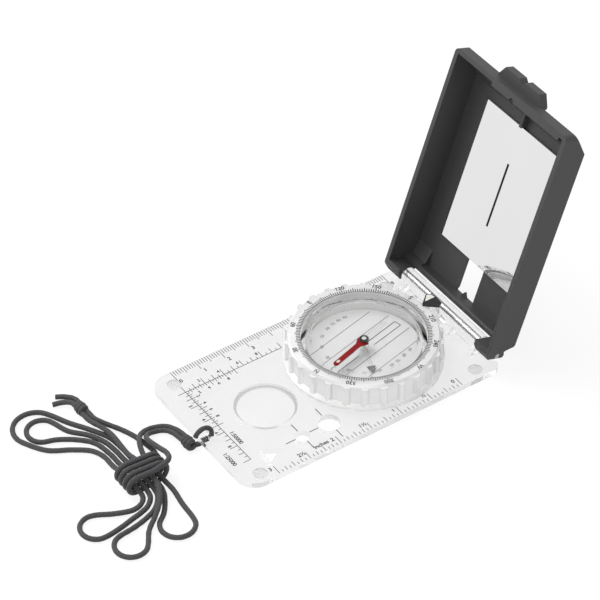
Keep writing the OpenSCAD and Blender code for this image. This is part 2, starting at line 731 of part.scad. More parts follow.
module lid_shell() {
    mirror_top = mirror_low + mirror_l;
    rib_x = 0.1;
    rib_gap = 0.4;
    rib_l = 8;
    rib_t = 1.2;
    rib_rise = 1.6;
    color([0.27, 0.27, 0.27]) lid_frame() {
        difference() {
            intersection() {
                union() {
                    along_x(-lid_half, lid_half) lid_outline();
                    along_x(-ear_in, ear_in) panel_heel();
                }
                along_y(-lid_l - eps, barrel_r + eps) lid_section();
                translate([0, 0, rim_z - eps]) linear_extrude(lid_back - rim_z + 2 * eps) lid_face();
            }
            along_x(lid_wall - lid_half, lid_half - lid_wall) lid_hollow();
            along_x(panel_heel_t - ear_in, ear_in - panel_heel_t) panel_heel_hollow();
            translate([-ear_in, -ear_l - eps, rim_z - eps])
                cube([2 * ear_in, ear_l + barrel_r + 2 * eps, tail_wall_z - rim_z + eps]);
            sight_window();
            rod_x(pin_r + run_fit, -lid_half - eps, lid_half + eps);
        }
        top_ledge();
        rear_sight();
        sight_tooth();
        intersection() {
            translate([rib_x, -mirror_top - rib_l, mirror_front - rib_rise])
                cube([rib_t, rib_l - rib_gap, panel_in - mirror_front + rib_rise + eps]);
            along_x(-lid_half, lid_half) lid_outline();
        }
    }
}

// Sighting window through the back panel, down to the lid's heel
module sight_window() {
    half = window_w / 2;
    foot = tail_wall_z + eps;
    translate([0, 0, foot]) linear_extrude(lid_back + eps - foot)
        translate([-half, -window_high]) square([window_w, window_high - window_low]);
}

// Pointed tooth at the window's foot, in the panel's plane
module sight_tooth() {
    translate([0, 0, panel_in - tooth_t / 2]) linear_extrude(tooth_t)
        polygon([[-tooth_half, tooth_root - window_low], [-tooth_half, -window_low],
                 [0, -window_low - tooth_h], [tooth_half, -window_low],
                 [tooth_half, tooth_root - window_low]]);
}

module mirror_plate() {
    color("gainsboro") lid_frame()
        translate([-mirror_w / 2, -mirror_low - mirror_l, mirror_front])
            cube([mirror_w, mirror_l, mirror_t]);
}

module mirror_pad() {
    inset = 1.5;
    color("dimgray") lid_frame()
        translate([inset - mirror_w / 2, inset - mirror_low - mirror_l, mirror_back])
            cube([mirror_w - 2 * inset, mirror_l - 2 * inset, tape_t]);
}

// Barrel-shaped knot along X, with three turns of cord on it
module knot(p) {
    turns = 3;
    waist = knot_r - 0.35;
    lobe = knot_l / turns;
    color([0.25, 0.25, 0.25]) translate([p.x - knot_l / 2, p.y + lay_shift, p.z]) rotate([0, 90, 0])
        rotate_extrude($fn = 48) {
            square([waist, knot_l]);
            for (k = [0:turns - 1])
                translate([knot_r - lobe / 2, (k + 0.5) * lobe]) circle(lobe / 2 - 0.01);
        }
}

module lanyard_hitch() {
    per = 3;
    fine = [for (i = [0:len(hitch_flat) - 2], k = [0:per - 1])
        hitch_flat[i] + (hitch_flat[i + 1] - hitch_flat[i]) * k / per];
    color([0.25, 0.25, 0.25])
        tube(spline(hitch_route, per), cord_r, 8, concat(fine, [hitch_flat[len(hitch_flat) - 1]]));
}

module lanyard_knot() {
    knot(knot_pos);
}

module lanyard_lead() {
    color([0.25, 0.25, 0.25]) translate([0, lay_shift, 0]) {
        tube(spline(lead_a_route, 2), cord_r, 8);
        tube(spline(lead_b_route, 2), cord_r, 8);
    }
}

module lanyard_hank() {
    path = spline(hank_route, 2);
    echo(hank_least_gap = least_gap(path, 8));
    color([0.25, 0.25, 0.25]) translate([0, lay_shift, 0]) tube(path, cord_r, 6);
}

module lanyard_wrap() {
    echo(wrap_least_gap = least_gap(wrap_path, 8));
    color([0.25, 0.25, 0.25]) translate([0, lay_shift, 0]) tube(wrap_path, cord_r, 6);
}

module lanyard_ends() {
    color([0.25, 0.25, 0.25]) translate([0, lay_shift, 0]) {
        tube(spline(end_a_route, 2), cord_r, 8);
        tube(spline(end_b_route, 2), cord_r, 8);
    }
}

module end_knot() {
    knot(end_knot_pos);
}

module lanyard_tails() {
    color([0.25, 0.25, 0.25]) translate([0, lay_shift, 0]) {
        tube(spline(tail_a_route, 2), cord_r, 8);
        tube(spline(tail_b_route, 2), cord_r, 8);
    }
}

base_plate();
magnifier_lens();
feet();
hinge_pin();
index_marker();
index_inlay();
friction_washer();
bezel_ring();
capsule_cup();
capsule_window();
capsule_seal();
bezel_retainer();
orienting_disc();
pivot_post();
needle_north();
needle_south();
needle_cap();
needle_jewel();
tilt_arm();
tilt_pointer();
lid_shell();
mirror_plate();
mirror_pad();
lanyard_hitch();
lanyard_knot();
lanyard_lead();
lanyard_hank();
lanyard_wrap();
lanyard_ends();
end_knot();
lanyard_tails();
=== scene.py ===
import logging
import math
from dataclasses import dataclass, field
from enum import Enum

import bmesh
import bpy
from mathutils import Matrix, Vector


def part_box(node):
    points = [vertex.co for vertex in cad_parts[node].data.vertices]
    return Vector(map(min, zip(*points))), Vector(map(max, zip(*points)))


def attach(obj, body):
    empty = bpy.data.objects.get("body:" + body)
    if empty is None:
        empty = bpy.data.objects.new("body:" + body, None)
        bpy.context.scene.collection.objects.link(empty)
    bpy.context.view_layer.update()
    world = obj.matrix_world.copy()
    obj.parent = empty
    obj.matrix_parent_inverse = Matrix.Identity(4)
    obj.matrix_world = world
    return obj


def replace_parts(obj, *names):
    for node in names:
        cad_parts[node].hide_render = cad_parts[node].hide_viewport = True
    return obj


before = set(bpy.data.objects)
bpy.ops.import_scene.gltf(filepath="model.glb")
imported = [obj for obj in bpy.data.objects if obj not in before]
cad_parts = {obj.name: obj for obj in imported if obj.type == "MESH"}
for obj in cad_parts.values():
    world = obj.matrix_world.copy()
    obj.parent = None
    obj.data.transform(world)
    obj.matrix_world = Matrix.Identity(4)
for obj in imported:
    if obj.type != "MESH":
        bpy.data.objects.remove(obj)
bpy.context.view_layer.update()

MM = 0.001
FULL_TURN = 360
HALF_TURN = 180
QUARTER_TURN = 90
# Bounces after which light that runs round inside a clear piece is let out again
TRAPPED_BOUNCES = 4.5
# Distance under which two points of ink are one
WELD = 1e-5
LOG = logging.getLogger("mirror_compass")
Point = tuple[float, float, float]
Flat = tuple[float, float]
# Divisions from the coarsest to the finest, each with the length of its ticks
Ticks = tuple[tuple[int, float], ...]
Tree = bpy.types.NodeTree
Shader = bpy.types.Node
Socket = bpy.types.NodeSocket


class Body(Enum):
    """Bodies of the frame that pieces ride on."""

    BASE = "base"
    DIAL = "dial"
    NEEDLE = "needle"
    LID = "lid"


class FarEnd(Enum):
    """What a cord's far end is."""

    KNOT = "knot"


def linear(colour: str) -> tuple[float, float, float, float]:
    """Turn an sRGB hex colour to linear, by the standard's own curve.

    Args:
        colour: six hex digits after a hash sign.

    Returns:
        Linear red, green and blue, and a full alpha.
    """
    parts = [int(colour[i:i + 2], 16) / 255 for i in (1, 3, 5)]
    red, green, blue = [
        p / 12.92 if p <= 0.04045 else ((p + 0.055) / 1.055) ** 2.4 for p in parts
    ]
    return (red, green, blue, 1.0)


def add_node(
    tree: Tree,
    kind: str,
    settings: dict[str | int, object] | None = None,
    links: dict[str | int, Socket] | None = None,
) -> bpy.types.Node:
    """Add a shader node with its settings and links.

    Args:
        tree: the tree that takes the node.
        kind: the node's type name.
        settings: values for its sockets or its own properties.
        links: sockets that feed its inputs.

    Returns:
        The new node.
    """
    made = tree.nodes.new(kind)
    for key, value in (settings or {}).items():
        if isinstance(key, int) or key in made.inputs:
            made.inputs[key].default_value = value
        else:
            setattr(made, key, value)
    for key, socket in (links or {}).items():
        tree.links.new(socket, made.inputs[key])
    return made


def noise(
    tree: Tree, place: Socket, size_mm: float, detail: float = 3.0, roughness: float = 0.6
) -> Socket:
    """Add a cloudy pattern.

    Args:
        tree: the tree that takes the node.
        place: where on the piece the pattern is read.
        size_mm: about how far apart its clouds are.
        detail: how many finer layers it has.
        roughness: how strong the finer layers are.

    Returns:
        The pattern, from 0 to 1.
    """
    made = add_node(
        tree, "ShaderNodeTexNoise",
        {"Scale": 1 / (size_mm * MM), "Detail": detail, "Roughness": roughness},
        {"Vector": place},
    )
    return made.outputs["Fac"]


def larger(tree: Tree, one: Socket, other: Socket) -> Socket:
    """Add a node that takes the larger of two values."""
    links = {0: one, 1: other}
    return add_node(tree, "ShaderNodeMath", {"operation": "MAXIMUM"}, links).outputs[0]


def lead_out(tree: Tree, output: str, share: Socket, first: Shader, second: Shader) -> None:
    """Lead a mix of two shaders to a tree's output.

    Args:
        tree: the tree.
        output: its output node's name.
        share: the second shader's share, from 0 to 1.
        first: the shader at a share of 0.
        second: the shader at a share of 1.
    """
    links = {0: share, 1: first.outputs[0], 2: second.outputs[0]}
    both = add_node(tree, "ShaderNodeMixShader", {}, links)
    tree.links.new(both.outputs[0], tree.nodes[output].inputs["Surface"])


@dataclass(frozen=True)
class Finish:
    """A moulded or printed surface: colour, gloss and a fine grain.

    The grain moves the colour, the roughness and the surface a little.
    """

    name: str
    colour: str
    shade: str
    roughness: float
    rough_spread: float
    grain_mm: float
    grain_depth_mm: float
    sockets: tuple[tuple[str, float], ...] = ()
    lets_through: str = ""

    def material(self) -> bpy.types.Material:
        """Find or make the finish's material.

        Returns:
            A material with this finish's pattern on it, made once and then shared.
        """
        material = bpy.data.materials.get(self.name)
        if material is None:
            material = bpy.data.materials.new(self.name)
            material.use_nodes = True
            tree = material.node_tree
            shader = tree.nodes["Principled BSDF"]
            for socket, value in self.sockets:
                shader.inputs[socket].default_value = value
            place = add_node(tree, "ShaderNodeTexCoord")
            self.spread(tree, shader, self.pattern(tree, place))
            if self.lets_through:
                self.lit_through(tree, shader)
        return material

    def lit_through(self, tree: Tree, shader: Shader) -> None:
        """Let lamps and soft light pass straight through, tinted, to what lies behind.

        Args:
            tree: the material's tree.
            shader: its surface shader.
        """
        path = add_node(tree, "ShaderNodeLightPath")
        soft = larger(tree, path.outputs["Is Shadow Ray"], path.outputs["Is Diffuse Ray"])
        trapped = add_node(
            tree, "ShaderNodeMath", {"operation": "GREATER_THAN", 1: TRAPPED_BOUNCES},
            {0: path.outputs["Ray Depth"]},
        )
        passing = larger(tree, soft, trapped.outputs[0])
        tint = {"Color": linear(self.lets_through)}
        clear = add_node(tree, "ShaderNodeBsdfTransparent", tint)
        lead_out(tree, "Material Output", passing, shader, clear)

    def pattern(self, tree: Tree, place: bpy.types.Node) -> Socket:
        """Add a fine grain, from 0 to 1, read at the places on the piece."""
        return noise(tree, place.outputs["Object"], self.grain_mm)

    def spread(self, tree: Tree, shader: Shader, height: Socket) -> None:
        """Lead one pattern to the shader's colour, roughness and normal.

        Args:
            tree: the material's tree.
            shader: its surface shader.
            height: the pattern, from 0 to 1.
        """
        # Inputs 6 and 7 of a colour mix are its two colours
        tone = add_node(
            tree, "ShaderNodeMix",
            {"data_type": "RGBA", 6: linear(self.shade), 7: linear(self.colour)},
            {0: height},
        )
        tree.links.new(tone.outputs[2], shader.inputs["Base Color"])
        low, high = self.roughness - self.rough_spread, self.roughness + self.rough_spread
        gloss = add_node(
            tree, "ShaderNodeMapRange", {"To Min": low, "To Max": high}, {"Value": height}
        )
        tree.links.new(gloss.outputs["Result"], shader.inputs["Roughness"])
        relief = add_node(
            tree, "ShaderNodeBump",
            {"Strength": 1.0, "Distance": self.grain_depth_mm * MM},
            {"Height": height},
        )
        tree.links.new(relief.outputs["Normal"], shader.inputs["Normal"])


@dataclass(frozen=True)
class DrawnMetal(Finish):
    """A drawn wire or rolled plate, with its grain pulled out along the work."""

    pull: Point = (0.05, 1.0, 1.0)

    def pattern(self, tree: Tree, place: bpy.types.Node) -> Socket:
        """Add a grain that is stretched along the drawing direction.

        Args:
            tree: the material's tree.
            place: the node that gives places on the piece.

        Returns:
            The grain, from 0 to 1.
        """
        links = {"Vector": place.outputs["Object"]}
        pulled = add_node(tree, "ShaderNodeMapping", {"Scale": self.pull}, links)
        along = pulled.outputs["Vector"]
        return noise(tree, along, self.grain_mm, detail=4.0, roughness=0.65)


@dataclass(frozen=True)
class BraidedYarn(Finish):
    """A braided cord, with fibres and yarns that cross along its length."""

    fibre_mm: float = 0.12
    braid_share: float = 0.55

    def pattern(self, tree: Tree, place: bpy.types.Node) -> Socket:
        """Add fibres, and bands on the cord's unrolled skin.

        Args:
            tree: the material's tree.
            place: the node that gives places on the piece.

        Returns:
            The yarns' height, from 0 to 1.
        """
        fibres = noise(tree, place.outputs["Object"], self.fibre_mm, roughness=0.7)
        braid = add_node(
            tree, "ShaderNodeTexWave",
            {"wave_type": "BANDS", "bands_direction": "DIAGONAL", "Scale": 1.0,
             "Distortion": 1.5, "Detail": 2.0},
            {"Vector": place.outputs["UV"]},
        )
        # Inputs 2 and 3 of a number mix are its two numbers
        worn = add_node(
            tree, "ShaderNodeMix", {"data_type": "FLOAT", 0: self.braid_share},
            {2: fibres, 3: braid.outputs["Fac"]},
        )
        return worn.outputs[0]


# Acrylic, moulded: clear with a faint grey body, and a skin that softens what lies behind it
MOULDED_ACRYLIC = Finish(
    "acrylic_clear_moulded", "#F4F4F4", "#EEEEEE", 0.1, 0.03, 7.0, 0.004,
    (("Transmission Weight", 1.0), ("IOR", 1.2)), "#F3F3F3",
)
# Cast acrylic, optically polished: the magnifier, smoother than the plate
LENS_ACRYLIC = Finish(
    "acrylic_optical_polished", "#F4F4F4", "#F0F0F0", 0.012, 0.006, 12.0, 0.002,
    (("Transmission Weight", 1.0), ("IOR", 1.1)), "#F2F2F2",
)
# Cast acrylic with the capsule's fluid against it: clear, and it bends and mirrors little
WETTED_ACRYLIC = Finish(
    "acrylic_wetted_clear", "#FBFBFB", "#F7F7F7", 0.012, 0.006, 12.0, 0.002,
    (("Transmission Weight", 1.0), ("IOR", 1.09)), "#F9F9F9",
)
# Polycarbonate, moulded and slightly milky: lets light through and blurs what lies behind it
MILKY_BEZEL = Finish(
    "polycarbonate_milky_moulded", "#EBEBEB", "#E4E4E4", 0.16, 0.05, 3.0, 0.01,
    (("Transmission Weight", 0.6), ("IOR", 1.4)), "#EEEEEE",
)
# Polyester film, printed side up: a pale veil over the capsule's floor
DIAL_FILM = Finish(
    "polyester_film_frosted", "#D9D9D9", "#D2D2D2", 0.35, 0.08, 2.0, 0.004,
    (("Transmission Weight", 0.25), ("IOR", 1.57)), "#D9D9D9",
)
# ABS, moulded in a spark-eroded tool: dark grey and matt, with a fine even grain
CHARCOAL_ABS = Finish("abs_charcoal_textured", "#363637", "#2B2B2C", 0.56, 0.08, 0.5, 0.03)
# ABS, moulded smooth: black with a soft gloss
BLACK_ABS = Finish("abs_black_smooth", "#141415", "#0C0C0D", 0.34, 0.08, 0.8, 0.008)
# ABS, moulded smooth: the mid grey of the tilt pointer
GREY_ABS = Finish("abs_grey_smooth", "#6C6D6E", "#5E5F60", 0.5, 0.08, 0.8, 0.006)
# Acetal, machined: white and slightly waxy
WHITE_ACETAL = Finish("acetal_white_machined", "#E9E9E6", "#E0E0DC", 0.42, 0.06, 1.2, 0.006)
# Silicone rubber, moulded: clear and soft, hardly seen against the acrylic
CLEAR_SILICONE = Finish(
    "silicone_pale_moulded", "#FFFFFF", "#FCFCFC", 0.12, 0.06, 1.0, 0.006,
    (("Transmission Weight", 1.0), ("IOR", 1.04)), "#FEFEFE",
)
# Stainless steel wire, drawn: satin grey with fine lines along its length
DRAWN_STEEL = DrawnMetal(
    "stainless_drawn", "#B9BABA", "#A3A4A5", 0.5, 0.08, 0.25, 0.004, (("Metallic", 1.0),)
)
# Acrylic mirror, silvered: a near perfect reflection with the faintest smear
SILVERED = DrawnMetal(
    "acrylic_mirror_silvered", "#E1E1E1", "#DDDDDD", 0.015, 0.01, 20.0, 0.0005,
    (("Metallic", 1.0),), pull=(1.0, 1.0, 0.4),
)
# Foam tape, die cut: dark grey and open-pored
FOAM_TAPE = Finish("foam_tape_dark", "#2E2E2F", "#1E1E1F", 0.8, 0.1, 0.4, 0.03)
# Enamel on spring steel, dipped: deep red with little gloss under the fluid
RED_ENAMEL = Finish(
    "enamel_red_dipped", "#84080D", "#70050A", 0.4, 0.06, 1.4, 0.01,
    (("Specular IOR Level", 0.12),),
)
# Luminous paint, brushed: pale and chalky
LUMINOUS = Finish("luminous_paint_pale", "#C9CBC4", "#B2B5AC", 0.62, 0.1, 0.3, 0.012)
# Sapphire, ground and polished: the bearing's small pale pink stone
SAPPHIRE = Finish(
    "sapphire_polished", "#F2DCDD", "#E8CACC", 0.03, 0.01, 1.0, 0.001,
    (("Transmission Weight", 0.9), ("IOR", 1.77)),
)
# Scale ink, screen printed: near black with the mesh's faint mottle
SCALE_INK = Finish(
    "ink_black_screen_printed", "#101011", "#080809", 0.6, 0.1, 0.35, 0.003,
    (("Specular IOR Level", 0.2),),
)
# Scale ink, thinned: the grey of the tilt scale's figures
GREY_INK = Finish("ink_grey_screen_printed", "#949596", "#848586", 0.55, 0.1, 0.35, 0.003)
# Polyester cord, braided: dark grey, dull, with a soft sheen on its yarns
DARK_CORD = BraidedYarn(
    "polyester_cord_braided", "#3C3C3E", "#252527", 0.82, 0.08, 0.3, 0.05,
    (("Sheen Weight", 0.1), ("Sheen Roughness", 0.5)),
)


def dress(finishes: dict[str, Finish]) -> None:
    """Give nodes of the frame their finishes.

    Args:
        finishes: what each node's surface is, by the node's name.
    """
    for node, finish in finishes.items():
        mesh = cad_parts[node].data
        mesh.materials.clear()
        mesh.materials.append(finish.material())
        LOG.info("%s dressed in %s", node, finish.name)


def piece(
    name: str, mesh: bpy.types.Mesh, finish: Finish, body: Body
) -> bpy.types.Object:
    """Put a new piece into the scene.

    Args:
        name: the piece's name.
        mesh: its shape in the row frame, in metres.
        finish: its surface.
        body: the body it rides on.

    Returns:
        The piece's object.
    """
    mesh.materials.append(finish.material())
    made = bpy.data.objects.new(name, mesh)
    bpy.context.scene.collection.objects.link(made)
    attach(made, body.value)
    LOG.info("%s made with %d faces", name, len(mesh.polygons))
    return made


@dataclass
class Lettering:
    """Plain figures and letters from the built-in font, as solid strokes."""

    half_depth: float = 0.5
    stroke_gain: float = 0.02
    curve_steps: int = 4
    kept: dict[str, bpy.types.Mesh] = field(default_factory=dict)

    def __post_init__(self) -> None:
        """Make the working text, which removed() takes away again."""
        self.curve = bpy.data.curves.new("lettering", "FONT")
        self.curve.extrude = self.half_depth
        self.curve.offset = self.stroke_gain
        self.curve.resolution_u = self.curve_steps
        self.text = bpy.data.objects.new("lettering", self.curve)
        bpy.context.scene.collection.objects.link(self.text)
        rows = [v.co.y for v in self.shape("0").vertices]
        self.cap = max(rows) - min(rows)

    def shape(self, words: str) -> bpy.types.Mesh:
        """Make solid strokes of some words, centred, one unit thick.

        Args:
            words: what to write.

        Returns:
            A closed mesh, kept for the next call.
        """
        if words not in self.kept:
            self.curve.body = words
            bpy.context.view_layer.update()
            seen = self.text.evaluated_get(bpy.context.evaluated_depsgraph_get())
            mesh = bpy.data.meshes.new_from_object(seen)
            spans = [[v.co[i] for v in mesh.vertices] for i in range(3)]
            middle = Vector([(max(span) + min(span)) / 2 for span in spans])
            mesh.transform(Matrix.Translation(-middle))
            self.kept[words] = mesh
        return self.kept[words]

    def removed(self) -> None:
        """Take the working text and its shapes away."""
        bpy.data.objects.remove(self.text)
        for mesh in self.kept.values():
            bpy.data.meshes.remove(mesh)


@dataclass
class PrintSheet:
    """Ink marks on one flat face, as thin solids in the face's own millimetres."""

    name: str
    body: Body
    slot: str
    finish: Finish
    place: Matrix
    letters: Lettering
    thick: float = 0.04
    sink: float = 0.01
    hoop_steps: int = 180
    mesh: bmesh.types.BMesh = field(default_factory=bmesh.new)

    def prism(self, outline: list[Flat]) -> None:
        """Add a flat solid.

        Args:
            outline: its corners, counterclockwise.
        """
        low = [self.mesh.verts.new((x, y, -self.sink)) for x, y in outline]
        high = [self.mesh.verts.new((x, y, self.thick)) for x, y in outline]
        self.mesh.faces.new(high)
        self.mesh.faces.new(low[::-1])
        for i in range(len(outline)):
            j = (i + 1) % len(outline)
            self.mesh.faces.new((low[i], low[j], high[j], high[i]))

    def bar(self, start: Flat, end: Flat, width: float) -> None:
        """Add a straight line of ink.

        Args:
            start: one end.
            end: the other end.
            width: the line's width.
        """
        a, b = Vector(start), Vector(end)
        run = b - a
        side = Vector((-run.y, run.x)).normalized() * width / 2
        self.prism([(c.x, c.y) for c in (a - side, b - side, b + side, a + side)])

    def hoop(self, radius: float, width: float) -> None:
        """Add a full circle of ink about the face's origin.

        Args:
            radius: the middle of the line.
            width: the line's width.
        """
        inner, outer = radius - width / 2, radius + width / 2
        angles = [math.tau * k / self.hoop_steps for k in range(self.hoop_steps)]
        rings = []
        for r, z in (
            (inner, -self.sink), (outer, -self.sink), (outer, self.thick), (inner, self.thick)
        ):
            rings.append(
                [self.mesh.verts.new((r * math.cos(a), r * math.sin(a), z)) for a in angles]
            )
        for k in range(self.hoop_steps):
            n = (k + 1) % self.hoop_steps
            for a, b in ((0, 1), (1, 2), (2, 3), (3, 0)):
                self.mesh.faces.new((rings[a][n], rings[b][n], rings[b][k], rings[a][k]))

    def words(self, text: str, at: Flat, height: float, turn: float = 0.0) -> None:
        """Add figures or letters.

        Args:
            text: what to write.
            at: the middle of the words.
            height: the height of a figure.
            turn: degrees counterclockwise from reading along the face's first axis.
        """
        shape = self.letters.shape(text).copy()
        scale = height / self.letters.cap
        depth = self.thick + self.sink
        shape.transform(
            Matrix.Translation((at[0], at[1], depth / 2 - self.sink))
            @ Matrix.Rotation(math.radians(turn), 4, "Z")
            @ Matrix.Diagonal((scale, scale, depth, 1.0))
        )
        self.mesh.from_mesh(shape)
        bpy.data.meshes.remove(shape)

    def put(self) -> bpy.types.Object:
        """Turn the marks into a piece.

        Returns:
            The sheet's object.
        """
        bmesh.ops.remove_doubles(self.mesh, verts=self.mesh.verts, dist=WELD)
        bmesh.ops.recalc_face_normals(self.mesh, faces=self.mesh.faces)
        mesh = bpy.data.meshes.new(self.name)
        self.mesh.transform(self.place)
        self.mesh.to_mesh(mesh)
        self.mesh.free()
        return piece(self.name, mesh, self.finish, self.body)


def level(height: float) -> Matrix:
    """Place a face, in millimetres, flat over the dial's axis at a height in metres."""
    return Matrix.Translation((0, 0, height)) @ Matrix.Scale(MM, 4)


def top_of(node: str) -> Matrix:
    """Place a face, in millimetres, on a node's top."""
    return level(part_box(node)[1][2])


def headed(radius: float, heading: float) -> Flat:
    """Find the point at a radius and a heading, in degrees clockwise from the hinge side."""
    turn = math.radians(heading)
    return (radius * math.sin(turn), radius * math.cos(turn))


def tick_reach(count: int, ticks: Ticks) -> float:
    """Find a numbered tick's length, that of the coarsest division it falls on."""
    return next(reach for step, reach in ticks if count % step == 0)


@dataclass
class BasePlate:
    """Clear plate with its scales, magnifier, feet, hinge pin and index."""

    letters: Lettering
    edge: float = 31.2
    figure: float = 1.7
    fine: float = 0.2
    bold: float = 0.28
    ruler_zero: float = -60.05
    ruler_cm: int = 9
    cm: int = 10
    ruler_ticks: Ticks = ((10, 4.4), (5, 3.2), (1, 2.4))
    ruler_label: Flat = (5.6, 0.9)
    dial_clear: float = 24.0
    inch_zero: float = 19.5
    inches: int = 3
    inch: float = 25.4
    inch_parts: int = 16
    inch_ticks: Ticks = ((16, 4.0), (8, 3.4), (4, 2.4), (2, 1.8), (1, 1.2))
    inch_label: Flat = (3.3, 1.7)
    unit_label: Flat = (3.5, 2.24)
    map_corner: Flat = (-19.9, -61.0)
    map_length: float = 40.0
    map_parts: int = 20
    map_outer: Ticks = ((4, 3.0), (2, 2.2), (1, 1.1))
    map_inner: Ticks = ((10, -2.2), (2, -1.4), (1, -0.8))
    map_units: int = 10
    map_figures: tuple[int, ...] = (2, 4, 6, 8)
    map_figure: float = 1.35
    outer_label: Flat = (-1.1, 2.4)
    inner_label: Flat = (0.0, -2.6)
    ratios: tuple[tuple[str, Flat], ...] = (("1:25000", (36.3, -5.8)), ("1:50000", (28.7, 1.9)))
    ratio_figure: float = 1.6
    stencils: tuple[Point, ...] = ((20.8, -40.3, 2.6), (20.5, -29.1, 4.0))
    cross_gap: float = 0.3
    cross_reach: float = 4.2

    def build(self) -> None:
        """Dress the plate's nodes and print its scales."""
        dress({
            "base_plate": MOULDED_ACRYLIC, "magnifier_lens": LENS_ACRYLIC,
            "feet": CLEAR_SILICONE, "hinge_pin": DRAWN_STEEL, "index_marker": BLACK_ABS,
            "index_inlay": LUMINOUS, "friction_washer": WHITE_ACETAL,
        })
        self.ruler()
        self.inch_scale()
        self.map_scales()
        self.stencil_crosses()

    def sheet(self, name: str) -> PrintSheet:
        """Start a sheet of ink on the plate's upper face, which the washer lies on."""
        face = level(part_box("friction_washer")[0][2])
        return PrintSheet(name, Body.BASE, "grey_print", SCALE_INK, face, self.letters)

    def ruler(self) -> None:
        """Print the millimetre ruler along the left edge."""
        sheet = self.sheet("ruler_mm")
        for k in range(self.ruler_cm * self.cm + 1):
            y = self.ruler_zero + k
            reach = tick_reach(k, self.ruler_ticks)
            sheet.bar((-self.edge, y), (reach - self.edge, y), self.fine)
        inward, along = self.ruler_label
        for k in range(self.ruler_cm + 1):
            y = self.ruler_zero + self.cm * k
            if abs(y) > self.dial_clear:
                at = (inward - self.edge, y + along)
                sheet.words(str(k), at, self.figure, QUARTER_TURN)
        sheet.put()

    def inch_scale(self) -> None:
        """Print the inch scale along the right edge, from the hinge side to the lanyard end."""
        sheet = self.sheet("ruler_inch")
        for k in range(self.inches * self.inch_parts + 1):
            y = self.inch_zero - k * self.inch / self.inch_parts
            reach = tick_reach(k, self.inch_ticks)
            sheet.bar((self.edge, y), (self.edge - reach, y), self.fine)
        inward, along = self.inch_label
        for k in range(self.inches * 2 + 1):
            whole = "" if k == 1 else str(k // 2)
            half = "½" if k % 2 else ""
            at = (self.edge - inward, self.inch_zero - k * self.inch / 2 - along)
            sheet.words(whole + half, at, self.figure, QUARTER_TURN)
        inward, whole_inches = self.unit_label
        at = (self.edge - inward, self.inch_zero - whole_inches * self.inch)
        sheet.words("inches", at, self.figure, QUARTER_TURN)
        sheet.put()

    def map_scales(self) -> None:
        """Print the two map scales as one corner, with ticks on both sides of each arm."""
        sheet = self.sheet("map_scales")
        for across in (True, False):
            self.map_arm(sheet, across)
        x, y = self.map_corner
        for ratio, (right, up) in self.ratios:
            sheet.words(ratio, (x + right, y + up), self.ratio_figure)
        sheet.put()

    def map_arm(self, sheet: PrintSheet, across: bool) -> None:
        """Print one arm of the map scales, whose inner side has half the outer side's units.

        Args:
            sheet: the ink it goes on.
            across: whether the arm runs across the plate or along it.
        """
        origin = Vector(self.map_corner)
        run = Vector((1, 0)) if across else Vector((0, 1))
        out = Vector((0, -1)) if across else Vector((-1, 0))
        turn = 0 if across else QUARTER_TURN
        sheet.bar(tuple(origin), tuple(origin + run * self.map_length), self.fine)
        for share, ticks in ((1, self.map_outer), (2, self.map_inner)):
            for k in range(self.map_parts + 1):
                start = origin + run * (self.map_length * k / (share * self.map_parts))
                end = start + out * tick_reach(k, ticks)
                sheet.bar(tuple(start), tuple(end), self.fine)
        for k in self.map_figures:
            for share, (shift, reach) in ((1, self.outer_label), (2, self.inner_label)):
                along = self.map_length * k / (share * self.map_units) + shift
                at = origin + run * along + out * reach
                sheet.words(str(k), tuple(at), self.map_figure, turn)

    def stencil_crosses(self) -> None:
        """Print the cross lines that centre the round stencil holes."""
        sheet = self.sheet("stencil_crosses")
        for x, y, r in self.stencils:
            near, far = r + self.cross_gap, r + self.cross_reach
            for dx, dy in ((1, 0), (-1, 0), (0, -1)):
                start, end = (x + dx * near, y + dy * near), (x + dx * far, y + dy * far)
                sheet.bar(start, end, self.bold)
        sheet.put()


